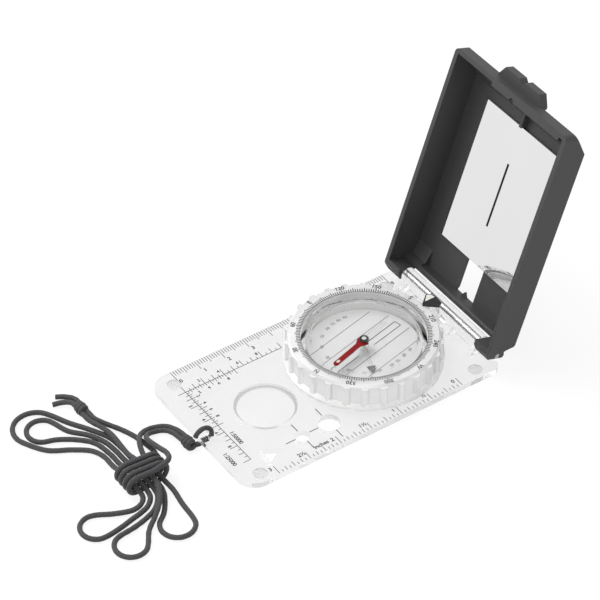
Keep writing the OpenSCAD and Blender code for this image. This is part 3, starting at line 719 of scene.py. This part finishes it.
@dataclass
class Dial:
    """Milky bezel with its degree ring, and the capsule with its orienting lines."""

    letters: Lettering
    north: float = 165.8
    heading: float = 167.2
    tick_in: float = 22.25
    tick_step: int = 2
    ticks: Ticks = ((10, 1.9), (1, 1.45))
    tick_w: float = 0.34
    ring_w: float = 0.14
    label_r: float = 25.2
    label_step: int = 30
    figure: float = 1.75
    line_places: tuple[float, ...] = (-10.9, -4.5, 5.0, 11.3)
    line_half: float = 19.3
    line_w: float = 0.15
    box_half: float = 1.35
    box_ends: tuple[Flat, ...] = ((-17.8, -3.9), (3.9, 17.5))
    box_w: float = 0.24
    tilt_figure: float = 1.3
    tilt_marks: tuple[tuple[int, float, float], ...] = (
        (30, 12.3, 150.4), (40, 12.5, 124.0), (50, 12.6, 99.4), (60, 12.8, 76.0),
        (70, 13.2, 62.8), (80, 14.3, 48.6), (90, 16.0, 36.4), (30, 13.4, 194.5),
        (40, 14.6, 217.3), (50, 15.7, 238.1), (60, 16.3, 254.0), (70, 16.6, 264.4),
        (80, 17.0, 274.1), (90, 17.4, 282.8),
    )

    def build(self) -> None:
        """Dress the dial's nodes and print its marks."""
        dress({
            "bezel_ring": MILKY_BEZEL, "capsule_cup": WETTED_ACRYLIC,
            "capsule_window": WETTED_ACRYLIC, "capsule_seal": CLEAR_SILICONE,
            "bezel_retainer": WHITE_ACETAL, "orienting_disc": DIAL_FILM,
            "pivot_post": WHITE_ACETAL,
        })
        self.degree_ring()
        self.orienting_lines()
        self.tilt_scale()

    def sheet(self, name: str, node: str, finish: Finish) -> PrintSheet:
        """Start a sheet of ink on a node's upper face."""
        return PrintSheet(name, Body.DIAL, "grey_print", finish, top_of(node), self.letters)

    def degree_ring(self) -> None:
        """Print the ticks and labels on the bezel's upper face."""
        sheet = self.sheet("degree_ring", "bezel_ring", SCALE_INK)
        sheet.hoop(self.tick_in, self.ring_w)
        for degree in range(0, FULL_TURN, self.tick_step):
            bearing = self.north + degree
            outer = self.tick_in + tick_reach(degree, self.ticks)
            sheet.bar(headed(self.tick_in, bearing), headed(outer, bearing), self.tick_w)
        names = {0: "N", 90: "E", 180: "S", 270: "W"}
        for degree in range(0, FULL_TURN, self.label_step):
            bearing = self.north + degree
            at = headed(self.label_r, bearing)
            sheet.words(names.get(degree, str(degree)), at, self.figure, -bearing)
        sheet.put()

    def turned(self, across: float, along: float) -> Flat:
        """Find the point on the disc at a distance across and along the lines' heading."""
        turn = math.radians(self.heading)
        return (
            along * math.sin(turn) + across * math.cos(turn),
            along * math.cos(turn) - across * math.sin(turn),
        )

    def orienting_lines(self) -> None:
        """Print the meridian lines and the outline that the needle is set in."""
        sheet = self.sheet("orienting_lines", "orienting_disc", SCALE_INK)
        for across in self.line_places:
            half = math.sqrt(self.line_half ** 2 - across ** 2)
            sheet.bar(self.turned(across, -half), self.turned(across, half), self.line_w)
        for across in (-self.box_half, self.box_half):
            for start, end in self.box_ends:
                sheet.bar(self.turned(across, start), self.turned(across, end), self.box_w)
        far = self.box_ends[0][0]
        sheet.bar(self.turned(-self.box_half, far), self.turned(self.box_half, far), self.box_w)
        sheet.put()

    def tilt_scale(self) -> None:
        """Print the grey figures that the tilt pointer reads against."""
        sheet = self.sheet("tilt_scale", "orienting_disc", GREY_INK)
        for value, radius, bearing in self.tilt_marks:
            sheet.words(str(value), headed(radius, bearing), self.tilt_figure, -bearing)
        sheet.put()


@dataclass
class Needle:
    """Magnetic needle on its bearing, with its luminous spots."""

    letters: Lettering
    heading: float = 164.0
    spot_at: float = 14.2
    spot_half_w: float = 0.5
    spot_half_l: float = 0.8
    end_steps: int = 8
    cap_spot_r: float = 0.8
    cap_spot_sides: int = 36

    def build(self) -> None:
        """Dress the needle's nodes and paint its spots."""
        dress({
            "needle_north": RED_ENAMEL, "needle_south": WETTED_ACRYLIC,
            "needle_cap": BLACK_ABS, "needle_jewel": SAPPHIRE,
        })
        turn = Matrix.Rotation(math.radians(-self.heading), 4, "Z")
        self.spot("needle_spot", turn @ top_of("needle_north"), self.oblong())
        sides = self.cap_spot_sides
        disc = [headed(self.cap_spot_r, -FULL_TURN * k / sides) for k in range(sides)]
        self.spot("cap_spot", top_of("needle_cap"), disc)

    def spot(self, name: str, face: Matrix, outline: list[Flat]) -> None:
        """Paint one spot.

        Args:
            name: the piece's name.
            face: the place of the face that it lies on.
            outline: its outline, counterclockwise.
        """
        sheet = PrintSheet(name, Body.NEEDLE, "pale_inlay", LUMINOUS, face, self.letters)
        sheet.prism(outline)
        sheet.put()

    def oblong(self) -> list[Flat]:
        """Draw the long spot with its round ends.

        Returns:
            The outline's points, counterclockwise.
        """
        r, straight = self.spot_half_w, self.spot_half_l - self.spot_half_w
        points = []
        for end, start in ((1, 0), (-1, HALF_TURN)):
            for k in range(self.end_steps + 1):
                turn = math.radians(start + HALF_TURN * k / self.end_steps)
                y = self.spot_at + end * straight + r * math.sin(turn)
                points.append((r * math.cos(turn), y))
        return points


@dataclass
class TiltGauge:
    """Free arm with the grey pointer that shows a slope."""

    def build(self) -> None:
        """Dress the gauge's nodes."""
        dress({"tilt_arm": WETTED_ACRYLIC, "tilt_pointer": GREY_ABS})


@dataclass
class Lid:
    """Dark sighting lid with its mirror."""

    letters: Lettering
    hinge: Point = (0.0, 34.84, 8.0)
    opened: float = 109.0
    mirror_front: float = 6.6
    line_low: float = 33.4
    line_high: float = 58.8
    line_w: float = 0.9

    def build(self) -> None:
        """Dress the lid's nodes and print the mirror's sighting line."""
        dress({"lid_shell": CHARCOAL_ABS, "mirror_plate": SILVERED, "mirror_pad": FOAM_TAPE})
        self.sighting_line()

    def sighting_line(self) -> None:
        """Print the black line down the mirror's middle, on a face whose second axis runs up it."""
        swing = Matrix.Rotation(math.radians(-self.opened), 4, "X")
        depth = self.mirror_front
        flip = Matrix(((1, 0, 0, 0), (0, -1, 0, 0), (0, 0, -1, depth), (0, 0, 0, 1)))
        face = Matrix.Scale(MM, 4) @ Matrix.Translation(self.hinge) @ swing @ flip
        sheet = PrintSheet("sighting_line", Body.LID, "grey_print", SCALE_INK, face, self.letters)
        sheet.bar((0.0, self.line_low), (0.0, self.line_high), self.line_w)
        sheet.put()


def curve_through(points: list[Vector], step: float) -> list[Vector]:
    """Draw a smooth curve through a route's points, a cubic between each two.

    Args:
        points: the route, in millimetres.
        step: about how far apart the curve's points are.

    Returns:
        Points along the curve, the route's ends among them.
    """
    last = len(points) - 1
    found = []
    for i in range(last):
        a, b, c, d = (points[min(max(k, 0), last)] for k in (i - 1, i, i + 1, i + 2))
        count = max(1, round((c - b).length / step))
        for k in range(count):
            s = k / count
            found.append(0.5 * (2 * b + (c - a) * s + (2 * a - 5 * b + 4 * c - d) * s * s
                                + (3 * b - a - 3 * c + d) * s ** 3))
    return found + [points[last]]


@dataclass
class BraidedTube:
    """Round cord along a curve, with the braid's crossing yarns as relief."""

    path: list[Vector]
    radius: float
    sides: int = 16
    yarns: int = 4
    pick: float = 3.2
    relief: float = 0.08
    first_side: Point = (0.01, 0.02, 1.0)
    least_squeeze: float = 0.7
    flat: list[float] = field(default_factory=list)

    def rings(self) -> tuple[list[Vector], list[float]]:
        """Find the points of the cord's skin.

        Returns:
            The rings' points one after another, and each ring's distance along the cord.
        """
        points, run, along = [], 0.0, []
        side = Vector(self.first_side)
        last = len(self.path) - 1
        for i, centre in enumerate(self.path):
            ahead = (self.path[min(i + 1, last)] - self.path[max(i - 1, 0)]).normalized()
            side = (side - ahead * side.dot(ahead)).normalized()
            other = ahead.cross(side)
            run += (centre - self.path[i - 1]).length if i else 0.0
            along.append(run)
            squeeze = self.flat[i] if self.flat else 1.0
            wider = max(squeeze, self.least_squeeze)
            for k in range(self.sides):
                turn = math.tau * k / self.sides
                r = self.radius * (1 - self.relief * self.dip(turn, run))
                up, out = r * squeeze * math.cos(turn), r * math.sin(turn) / wider
                points.append(centre + side * up + other * out)
        return points, along

    def dip(self, turn: float, run: float) -> float:
        """Find the depth of the groove between yarns.

        Args:
            turn: the angle round the cord.
            run: the distance along it.

        Returns:
            The depth, from 0 on a yarn to 1 in a groove.
        """
        twist = math.tau * run / self.pick
        one = abs(math.sin(self.yarns * turn / 2 + twist / 2))
        two = abs(math.sin(self.yarns * turn / 2 - twist / 2))
        return 1 - max(one, two) ** 2

    def mesh(self, name: str) -> bpy.types.Mesh:
        """Make the cord's closed mesh, with its skin unrolled as the texture map.

        Args:
            name: the mesh's name.

        Returns:
            The mesh, in metres.
        """
        points, along = self.rings()
        n = self.sides
        faces = []
        for i in range(len(self.path) - 1):
            for k in range(n):
                a, b = i * n + k, i * n + (k + 1) % n
                faces.append((a, b, b + n, a + n))
        tail = (len(self.path) - 1) * n
        ends = [tuple(range(n - 1, -1, -1)), tuple(range(tail, tail + n))]
        mesh = bpy.data.meshes.new(name)
        mesh.from_pydata([p * MM for p in points], [], faces + ends)
        skin = mesh.uv_layers.new(name="skin")
        for face in mesh.polygons:
            face.use_smooth = True
            for loop in face.loop_indices:
                v = mesh.loops[loop].vertex_index
                wrap = n if face.index % n == n - 1 and v % n == 0 else v % n
                skin.data[loop].uv = (wrap / n * self.yarns, along[v // n] / self.pick)
        return mesh


@dataclass
class Lanyard:
    """Doubled neck cord: hitched in the plate's hole, knotted, and laid in a hank on the table."""

    cord_d: float = 1.8
    plate_top: float = 3.2
    hole: Flat = (1.5, -64.8)
    hank_y: float = -95.0
    hank_z: float = 0.95
    hank_layer: float = 2.4
    hank_middle: int = 2
    hank_lift: float = 2.25
    hank_hump: float = 9.0
    hump_power: int = 4
    wrap_x: float = 6.0
    wrap_turns: float = 3.5
    wrap_pitch: float = 2.5
    wrap_half: float = 4.3
    wrap_r: float = 3.6
    rings_a_turn: int = 24
    knot_r: float = 2.3
    knot_l: float = 6.0
    knot_turns: int = 3
    knot_taper: float = 0.25
    knot_pos: Point = (0.8, -73.4, 2.4)
    end_knot_pos: Point = (-34.0, -94.4, 2.4)
    join_gap: float = 0.3
    tucked: float = 1.5
    strand_gap: float = 0.97
    fullness: float = 1.05
    step: float = 0.4

    def build(self) -> None:
        hitch = self.hitch()
        near_knot = self.knot("lanyard_knot_turns", self.knot_pos, "lanyard_knot")
        far_knot = self.knot("end_knot_turns", self.end_knot_pos, "end_knot")
        nodes_a = ("lanyard_lead", "lanyard_hank")
        self.strand("lanyard_strand_a", self.route_a(), nodes_a)
        nodes_b = ("lanyard_wrap", "lanyard_ends", "lanyard_tails")
        self.strand("lanyard_strand_b", self.route_b(), nodes_b)

    def laid(self, column: float, along: tuple[float, ...], layer: int = 0) -> list[Point]:
        """Lay a strand along the hank, lifted where the winding passes under it.

        Args:
            column: which column it lies in, counted from the plate's side.
            along: the places along the hank.
            layer: how many strands lie under it.

        Returns:
            The strand's points, in millimetres.
        """
        y = self.hank_y + self.hank_layer * (self.hank_middle - column)
        low = self.hank_z + layer * self.hank_layer
        points = []
        for x in along:
            hump = math.exp(-(((x - self.wrap_x) / self.hank_hump) ** self.hump_power))
            points.append((x, y, low + self.hank_lift * hump))
        return points

    def bend(
        self, middle: Flat, radius: float, start: float, end: float, steps: int
    ) -> list[Point]:
        """Lay a bend on the table.

        Args:
            middle: the bend's centre.
            radius: its radius.
            start: the angle that it starts at, in degrees.
            end: the angle that it ends at.
            steps: how many lengths it has.

        Returns:
            The bend's points, in millimetres.
        """
        x, y = middle
        turns = [math.radians(start + (end - start) * i / steps) for i in range(steps + 1)]
        return [
            (x + radius * math.cos(a), y + radius * math.sin(a), self.hank_z) for a in turns
        ]

    def hank(self) -> list[Point]:
        """Lay the hank: three loops at its right end and two, one in the other, at its left.

        Returns:
            The hank's points, in millimetres.
        """
        low = self.hank_z
        right = (-11.0, -5.0, 1.0, 6.0, 11.5)
        left = right[::-1]
        return [
            *self.laid(0, (3.0, 6.0, 11.5)), (17, -89.9, 2.4), (23, -90.4, 1.3),
            *self.bend((30, -96.8), 6, 90, -130, 6),
            (23.2, -97.9, 1), (19.8, -95.2, 1.5), (16, -93.2, 2.5),
            *self.laid(1, left), (-18, -93.4, low), (-25, -96.8, low), (-32, -101, low),
            *self.bend((-35.8, -111.6), 8, 110, 300, 6),
            (-24.5, -114, low), (-20, -107, low), (-15.8, -101.8, low),
            *self.laid(4, right), (14.4, -100.4, 2.7), (16.1, -102, 2.4),
            (16.7, -104.4, 1.9), (16, -107.2, 1.4), (13.6, -112, 1),
            *self.bend((15.8, -119.5), 5.6, 150, 370, 6), (20.6, -113, 1), (19.6, -108, 1.2),
            (19.1, -104.3, 1.6), (18.2, -100.9, 2.2), (15.7, -98.3, 2.8),
            *self.laid(3, left), (-18.2, -98.8, low), (-23.2, -103, low), (-27, -108.4, low),
            *self.bend((-33.5, -110.5), 5.4, -30, -260, 7),
            (-28.5, -103.2, low), (-23, -98.7, low), (-17, -95.8, low),
            *self.laid(2, right), (16.6, -96, 2.7), (20.3, -99.4, 1.9),
            (21.9, -104.2, 1.1), (23, -109.4, low),
            *self.bend((29.2, -114.5), 5.6, 190, 420, 7),
            (27.2, -106.2, 1.3), (24, -101.8, 2.6), (20.4, -97.6, 4.3), (15.6, -94.8, 5.2),
            *self.laid(1.5, left[:4], layer=1),
        ]

    def wrap_ring(self, run: float) -> Flat:
        """Find a place on one turn of the winding, flat above and below and round at its sides.

        Args:
            run: the length from the top's middle, in millimetres.

        Returns:
            The place across the hank and its height, from the turn's middle.
        """
        flat, r, side = self.wrap_half, self.wrap_r, math.pi * self.wrap_r
        if run < flat:
            return -run, r
        if run < flat + side:
            a = (run - flat) / r
            return -flat - r * math.sin(a), r * math.cos(a)
        if run < 3 * flat + side:
            return run - 2 * flat - side, -r
        if run < 3 * flat + 2 * side:
            a = (run - 3 * flat - side) / r
            return flat + r * math.sin(a), -r * math.cos(a)
        return 4 * flat + 2 * side - run, r

    def wrap(self) -> list[Vector]:
        """Wind the cord round the hank.

        Returns:
            The winding's points, from its top to its underside.
        """
        around = 4 * self.wrap_half + 2 * math.pi * self.wrap_r
        steps = round(self.wrap_turns * self.rings_a_turn)
        points = []
        for i in range(steps + 1):
            t = self.wrap_turns * i / steps
            y, z = self.wrap_ring((t % 1.0) * around)
            x = self.wrap_x + self.wrap_pitch * (self.wrap_turns / 2 - t)
            points.append(Vector((x, self.hank_y + y, self.cord_d / 2 + self.wrap_r + z)))
        return points

    def route(self, side: int, middle: list[Point | Vector], tail: list[Point]) -> list[Vector]:
        """Lead a strand from the knot at the plate through the end knot.

        Args:
            side: 1 for the strand that leaves the knot on the hinge's side, -1 for the other.
            middle: its points between the knots.
            tail: its points after the end knot.

        Returns:
            The whole route.
        """
        half = self.knot_l / 2 + self.join_gap
        out = side * self.strand_gap
        x, y, z = self.knot_pos
        first = (x + (self.tucked - half), y + out, z)
        x, y, z = self.end_knot_pos
        held = ((x + half, y - out, z), (x - half, y - out, z))
        return [Vector(p) for p in (first, *middle, *held, *tail)]

    def route_a(self) -> list[Vector]:
        """Lay the strand that makes the hank.

        Returns:
            Its points, from the knot to its tail.
        """
        lead = [
            (-6.6, -72.8, 1.9), (-11.5, -74.9, 1.2), (-13.6, -79.8, 1.1), (-11.5, -84.7, 2.8),
            (-7.4, -87.8, 3.9), (-1.8, -89.8, 3.7),
        ]
        end = [
            (-10.5, -93.5, 3.4), (-16, -93.2, 3.4), (-21, -93.8, 3.2), (-25.6, -95, 2.8),
            (-28.2, -95.36, 2.5),
        ]
        tail = [(-39.6, -96, 2), (-41.6, -98, 1.3), (-42.6, -100.8, 1)]
        return self.route(1, lead + self.hank() + end, tail)

    def route_b(self) -> list[Vector]:
        """Lay the strand that binds the hank's waist.

        Returns:
            Its points, from the knot to its tail.
        """
        lead = [
            (-6.6, -74.8, 1.9), (-10.1, -76.3, 1.2), (-11.6, -79.8, 1.1), (-10.1, -83.3, 2.6),
            (-6.6, -84.8, 4), (0, -84.9, 6), (5.6, -85, 7.8), (9.6, -87.2, 8.9),
        ]
        end = [
            (1.6, -90.4, 1), (0.6, -86.8, 1.05), (-2.8, -84.6, 1.05), (-8, -84.9, 1.05),
            (-14, -86.2, 1.05), (-19, -88.2, 1.15), (-23.4, -91.1, 1.8), (-27.3, -93.2, 2.3),
        ]
        tail = [(-40, -93.7, 2.2), (-43, -95.4, 1.6), (-45.2, -98, 1.2)]
        wrap = self.wrap()
        ahead = Vector((0, self.cord_d, 0))
        return self.route(-1, [*lead, wrap[0] + ahead, *wrap, wrap[-1] + ahead, *end], tail)

    def strand(
        self,
        name: str,
        route: list[Vector],
        nodes: tuple[str, ...],
    ) -> None:
        """Args:
            name: the piece's name.
            route: the points that it passes through.
            nodes: the frame's nodes that it stands for.
        """
        path = curve_through(route, self.step)
        mesh = BraidedTube(path, self.cord_d / 2 * self.fullness).mesh(name)
        made = piece(name, mesh, DARK_CORD, Body.BASE)
        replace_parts(made, *nodes)

    def hitch(self) -> bpy.types.Object:
        """Make the loop through the plate's hole, pressed flat under the plate.

        Returns:
            The hitch's object.
        """
        name = "lanyard_hitch_loop"
        x, y = self.hole
        top = self.plate_top
        shape = [
            (-6.3, top + 1, 1), (-5.2, top + 2.5, 1), (-3.1, top + 3.3, 1), (-1.1, top + 2.6, 1),
            (0.1, top + 0.9, 1), (0.3, top - 0.7, 0.85), (-0.1, 1.1, 0.6), (-1.5, 0.5, 0.45),
            (-3.4, 0.5, 0.45), (-5.2, 0.5, 0.45), (-6.6, 0.75, 0.5),
        ]
        path = curve_through([Vector((x, y + dy, z)) for dy, z, _ in shape], self.step / 2)
        per = (len(shape) - 1) / (len(path) - 1)
        flat = []
        for i in range(len(path)):
            k = min(int(i * per), len(shape) - 2)
            s = i * per - k
            flat.append(shape[k][2] * (1 - s) + shape[k + 1][2] * s)
        mesh = BraidedTube(path, self.cord_d / 2, flat=flat).mesh(name)
        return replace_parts(piece(name, mesh, DARK_CORD, Body.BASE), "lanyard_hitch")

    def knot(self, name: str, at: Point, node: str) -> bpy.types.Object:
        """Make a barrel knot of a few turns along the first axis.

        Args:
            name: the piece's name.
            at: its middle.
            node: the frame's node that it stands for.

        Returns:
            The knot's object.
        """
        reach = self.knot_r - self.cord_d / 2
        half = (self.knot_l - self.cord_d) / 2
        count = self.knot_turns * self.rings_a_turn
        x, y, z = at
        path = []
        for i in range(count + 1):
            s = i / count
            turn = math.tau * self.knot_turns * s
            swell = reach * (1 - self.knot_taper + self.knot_taper * math.sin(math.pi * s))
            across, up = swell * math.cos(turn), swell * math.sin(turn)
            path.append(Vector((x - half + 2 * half * s, y + across, z + up)))
        mesh = BraidedTube(curve_through(path, self.step / 2), self.cord_d / 2).mesh(name)
        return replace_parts(piece(name, mesh, DARK_CORD, Body.BASE), node)


@dataclass(frozen=True)
class Lamp:
    """A soft square lamp, with its place and side in metres and its power in watts."""

    name: str
    at: Point
    side: float
    power: float


@dataclass
class Studio:
    """White table, soft lights and the photograph's camera."""

    azimuth: float = 55.34
    elevation: float = 41.59
    target: Point = (-38.90, -0.07, 1.0)
    distance: float = 1171.37
    focal_px: float = 3293.44
    image_px: float = 600.0
    sensor: float = 36.0
    sight_m: float = 20.0
    floor_half: float = 3000.0
    floor_drop: float = 0.05
    floor_white: float = 0.86
    paper: str = "#F1F1F1"
    backdrop: str = "#FFFFFF"
    world_light: float = 0.55
    lamps: tuple[Lamp, ...] = (
        Lamp("key_light", (-0.55, -0.25, 0.9), 0.9, 13.0),
        Lamp("fill_light", (0.7, -0.75, 0.7), 0.8, 6.0),
    )

    def build(self) -> None:
        """Set the camera, the table, the world and the lamps."""
        self.camera()
        self.table()
        self.world()
        for lamp in self.lamps:
            self.hang(lamp)
        bpy.context.scene.view_settings.view_transform = "Standard"

    def camera(self) -> None:
        """Set the camera at the photograph's viewing angle."""
        a, e = math.radians(self.azimuth), math.radians(self.elevation)
        ahead = Vector((-math.sin(a) * math.cos(e), math.cos(a) * math.cos(e), -math.sin(e)))
        right = Vector((math.cos(a), math.sin(a), 0.0))
        lens = bpy.data.cameras.new("camera")
        lens.sensor_width = self.sensor
        lens.lens = self.focal_px / self.image_px * self.sensor
        lens.clip_end = self.sight_m
        made = bpy.data.objects.new("camera", lens)
        turn = Matrix((right, right.cross(ahead), -ahead)).transposed()
        place = (Vector(self.target) - ahead * self.distance) * MM
        made.matrix_world = Matrix.Translation(place) @ turn.to_4x4()
        bpy.context.scene.collection.objects.link(made)
        bpy.context.scene.camera = made

    def seen(self, tree: Tree) -> Socket:
        """Tell rays that show the backdrop from rays that light the object.

        Args:
            tree: the tree that takes the nodes.

        Returns:
            A socket that is 1 on rays that show the backdrop and 0 on the others.
        """
        path = add_node(tree, "ShaderNodeLightPath").outputs
        either = larger(tree, path["Is Camera Ray"], path["Is Glossy Ray"])
        return larger(tree, either, path["Is Transmission Ray"])

    def table(self) -> None:
        """Lay the pale table, white to the eye and keeping a soft shadow."""
        half = self.floor_half * MM
        mesh = bpy.data.meshes.new("table_top")
        corners = [(-half, -half), (half, -half), (half, half), (-half, half)]
        mesh.from_pydata([(x, y, -self.floor_drop * MM) for x, y in corners], [], [(0, 1, 2, 3)])
        material = bpy.data.materials.new("table_paper_white")
        material.use_nodes = True
        tree = material.node_tree
        tree.nodes.remove(tree.nodes["Principled BSDF"])
        paper = add_node(tree, "ShaderNodeBsdfDiffuse", {"Color": linear(self.paper)})
        white = add_node(tree, "ShaderNodeEmission", {"Strength": 1.0})
        share = add_node(
            tree, "ShaderNodeMath", {"operation": "MULTIPLY", 1: self.floor_white},
            {0: self.seen(tree)},
        )
        lead_out(tree, "Material Output", share.outputs[0], paper, white)
        mesh.materials.append(material)
        made = bpy.data.objects.new("table_top", mesh)
        bpy.context.scene.collection.objects.link(made)

    def world(self) -> None:
        """Light the scene from all round, and show white behind it."""
        world = bpy.data.worlds.new("studio")
        world.use_nodes = True
        tree = world.node_tree
        tree.nodes.remove(tree.nodes["Background"])
        white = linear(self.backdrop)
        light, shown = [
            add_node(tree, "ShaderNodeBackground", {"Color": white, "Strength": strength})
            for strength in (self.world_light, 1.0)
        ]
        lead_out(tree, "World Output", self.seen(tree), light, shown)
        bpy.context.scene.world = world

    def hang(self, lamp: Lamp) -> None:
        """Hang a lamp that faces the compass.

        Args:
            lamp: the lamp.
        """
        light = bpy.data.lights.new(lamp.name, "AREA")
        light.size = lamp.side
        light.energy = lamp.power
        made = bpy.data.objects.new(lamp.name, light)
        made.location = lamp.at
        made.rotation_euler = (-Vector(lamp.at)).to_track_quat("-Z", "Y").to_euler()
        bpy.context.scene.collection.objects.link(made)


def main() -> None:
    """Build the scene in order: camera, cords, then the rigid pieces."""
    logging.basicConfig(level=logging.INFO, format="%(message)s")
    Studio().build()
    Lanyard().build()
    letters = Lettering()
    BasePlate(letters).build()
    Dial(letters).build()
    Needle(letters).build()
    TiltGauge().build()
    Lid(letters).build()
    letters.removed()


if __name__ == "__main__":
    main()
